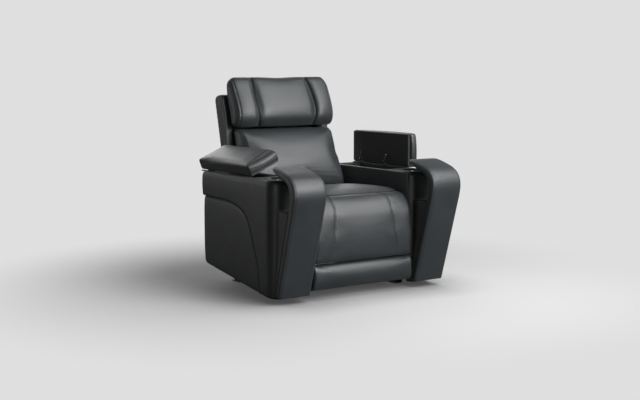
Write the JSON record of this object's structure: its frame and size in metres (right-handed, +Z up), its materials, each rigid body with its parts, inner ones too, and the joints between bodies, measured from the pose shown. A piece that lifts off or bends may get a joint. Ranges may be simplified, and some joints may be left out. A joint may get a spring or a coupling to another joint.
{
  "type": "powered cinema recliner seat",
  "caption": "Powered cinema recliner seat with storage arms, cup holders, looped front straps, lifting leg rest with sliding foot pad, reclining back and tilting headrest.",
  "frame": {"origin": "centre of the four floor bolts, on the floor face of the foot plates", "axes": "+Z up, the sitter faces -Y, +X is at the sitter's left hand"},
  "size_m": [1.0445, 1.0428, 1.0623],
  "materials": {
    "seat_leather": "soft grained hide, satin",
    "arm_leather": "soft grained hide, satin, dark",
    "recess_leather": "smooth dark hide",
    "lid_lining": "board covered with smooth black lining",
    "timber": "bare plywood and sawn timber",
    "webbing": "woven elastic straps",
    "frame_steel": "black powder coat",
    "bright_steel": "zinc plated",
    "chrome_ring": "polished",
    "black_plastic": "fine matt texture",
    "drive_plastic": "moulded, matt",
    "button_plastic": "satin grey"
  },
  "bodies": {
    "base": {"base_rails": "frame_steel", "cross_tubes": "frame_steel", "foot_plates": "frame_steel", "mechanism_plates": "frame_steel", "hinge_pins": "bright_steel", "seat_frame": "timber", "frame_bolts": "bright_steel", "seat_springs": "bright_steel", "seat_cushion": "seat_leather", "drive_brackets": "frame_steel", "power_supply": "black_plastic", "arm_frame_left": "timber", "arm_frame_right": "timber", "arm_decks": "seat_leather", "arm_band_left": "arm_leather", "arm_band_right": "arm_leather", "arm_panel_left": "arm_leather", "arm_panel_right": "arm_leather", "arm_inner_pads": "arm_leather", "front_strap_left": "seat_leather", "front_strap_right": "seat_leather", "strap_fillers": "recess_leather", "strap_blocks": "timber", "storage_bins": "black_plastic", "cup_holder_left": "chrome_ring", "cup_holder_right": "chrome_ring", "lid_hinge_seats": "chrome_ring", "switch_plate": "black_plastic"},
    "lid_left": {"lid_pad_left": "seat_leather", "lid_board_left": "lid_lining", "lid_leaves_left": "chrome_ring"},
    "lid_right": {"lid_pad_right": "seat_leather", "lid_board_right": "lid_lining", "lid_leaves_right": "chrome_ring"},
    "legrest": {"leg_cushion": "seat_leather", "leg_board": "timber", "leg_arms": "frame_steel", "leg_crossbar": "frame_steel"},
    "footpad": {"foot_cushion": "seat_leather", "foot_board": "timber", "foot_rails": "bright_steel"},
    "back": {"back_frame": "timber", "back_webbing": "webbing", "back_cushion": "seat_leather", "back_shell": "arm_leather", "back_crossbar": "frame_steel", "head_hinge_arms": "frame_steel"},
    "headrest": {"headrest_cushion": "seat_leather", "headrest_board": "timber", "headrest_brackets": "frame_steel"},
    "leg_drive": {"leg_drive": "drive_plastic"},
    "leg_rod": {"leg_drive_rod": "bright_steel"},
    "back_drive": {"back_drive": "drive_plastic"},
    "back_rod": {"back_drive_rod": "bright_steel"},
    "head_drive": {"head_drive": "drive_plastic"},
    "head_rod": {"head_drive_rod": "bright_steel"},
    "button_legs_out": {"button_legs_out": "button_plastic"},
    "button_legs_in": {"button_legs_in": "button_plastic"},
    "button_head_up": {"button_head_up": "button_plastic"},
    "button_head_down": {"button_head_down": "button_plastic"}
  },
  "joints": [
    {"name": "legrest_lift", "type": "hinge", "parent": "base", "child": "legrest", "pos_m": [0, -0.382, 0.392], "axis": [-1, 0, 0], "range_deg": [0, 88]},
    {"name": "footpad_extend", "type": "slide", "parent": "legrest", "child": "footpad", "axis": [0, 0, -1], "range_m": [0, 0.12]},
    {"name": "back_recline", "type": "hinge", "parent": "base", "child": "back", "pos_m": [0, 0.17, 0.35], "axis": [-1, 0, 0], "range_deg": [0, 45]},
    {"name": "head_tilt", "type": "hinge", "parent": "back", "child": "headrest", "pos_m": [0, 0.25, 0.845], "axis": [1, 0, 0], "range_deg": [0, 35]},
    {"name": "lid_left_lift", "type": "hinge", "parent": "base", "child": "lid_left", "pos_m": [-0.4815, 0.04, 0.589], "axis": [0, -1, 0], "range_deg": [-24, 66]},
    {"name": "lid_right_lift", "type": "hinge", "parent": "base", "child": "lid_right", "pos_m": [0.4815, 0.04, 0.589], "axis": [0, 1, 0], "range_deg": [-90, 0]},
    {"name": "leg_drive_swing", "type": "hinge", "parent": "base", "child": "leg_drive", "pos_m": [0, 0.04, 0.215], "axis": [1, 0, 0], "range_deg": [-3, 1]},
    {"name": "leg_rod_push", "type": "slide", "parent": "leg_drive", "child": "leg_rod", "axis": [0, -0.9707, 0.2402], "range_m": [0, 0.118]},
    {"name": "back_drive_swing", "type": "hinge", "parent": "base", "child": "back_drive", "pos_m": [0.112, -0.15, 0.2], "axis": [1, 0, 0], "range_deg": [-1, 4]},
    {"name": "back_rod_pull", "type": "slide", "parent": "back_drive", "child": "back_rod", "axis": [0, 0.9666, 0.2563], "range_m": [-0.047, 0]},
    {"name": "head_drive_swing", "type": "hinge", "parent": "back", "child": "head_drive", "pos_m": [0, 0.318, 0.64], "axis": [1, 0, 0], "range_deg": [-1, 2]},
    {"name": "head_rod_push", "type": "slide", "parent": "head_drive", "child": "head_rod", "axis": [0, -0.0149, 0.9999], "range_m": [0, 0.041]},
    {"name": "press_legs_out", "type": "slide", "parent": "base", "child": "button_legs_out", "axis": [-1, 0, 0], "range_m": [0, 0.0015], "stiffness_N_per_m": 400},
    {"name": "press_legs_in", "type": "slide", "parent": "base", "child": "button_legs_in", "axis": [-1, 0, 0], "range_m": [0, 0.0015], "stiffness_N_per_m": 400},
    {"name": "press_head_up", "type": "slide", "parent": "base", "child": "button_head_up", "axis": [-1, 0, 0], "range_m": [0, 0.0015], "stiffness_N_per_m": 400},
    {"name": "press_head_down", "type": "slide", "parent": "base", "child": "button_head_down", "axis": [-1, 0, 0], "range_m": [0, 0.0015], "stiffness_N_per_m": 400}
  ],
  "couplings": [
    {"joint": "footpad_extend", "follows": "legrest_lift", "m_per_rad": 0.07813},
    {"joint": "leg_drive_swing", "follows": "legrest_lift", "ratio": -0.02587},
    {"joint": "leg_rod_push", "follows": "legrest_lift", "m_per_rad": 0.07584},
    {"joint": "back_drive_swing", "follows": "back_recline", "ratio": 0.06494},
    {"joint": "back_rod_pull", "follows": "back_recline", "m_per_rad": -0.05768},
    {"joint": "head_drive_swing", "follows": "head_tilt", "ratio": 0.03733},
    {"joint": "head_rod_push", "follows": "head_tilt", "m_per_rad": 0.06438}
  ]
}
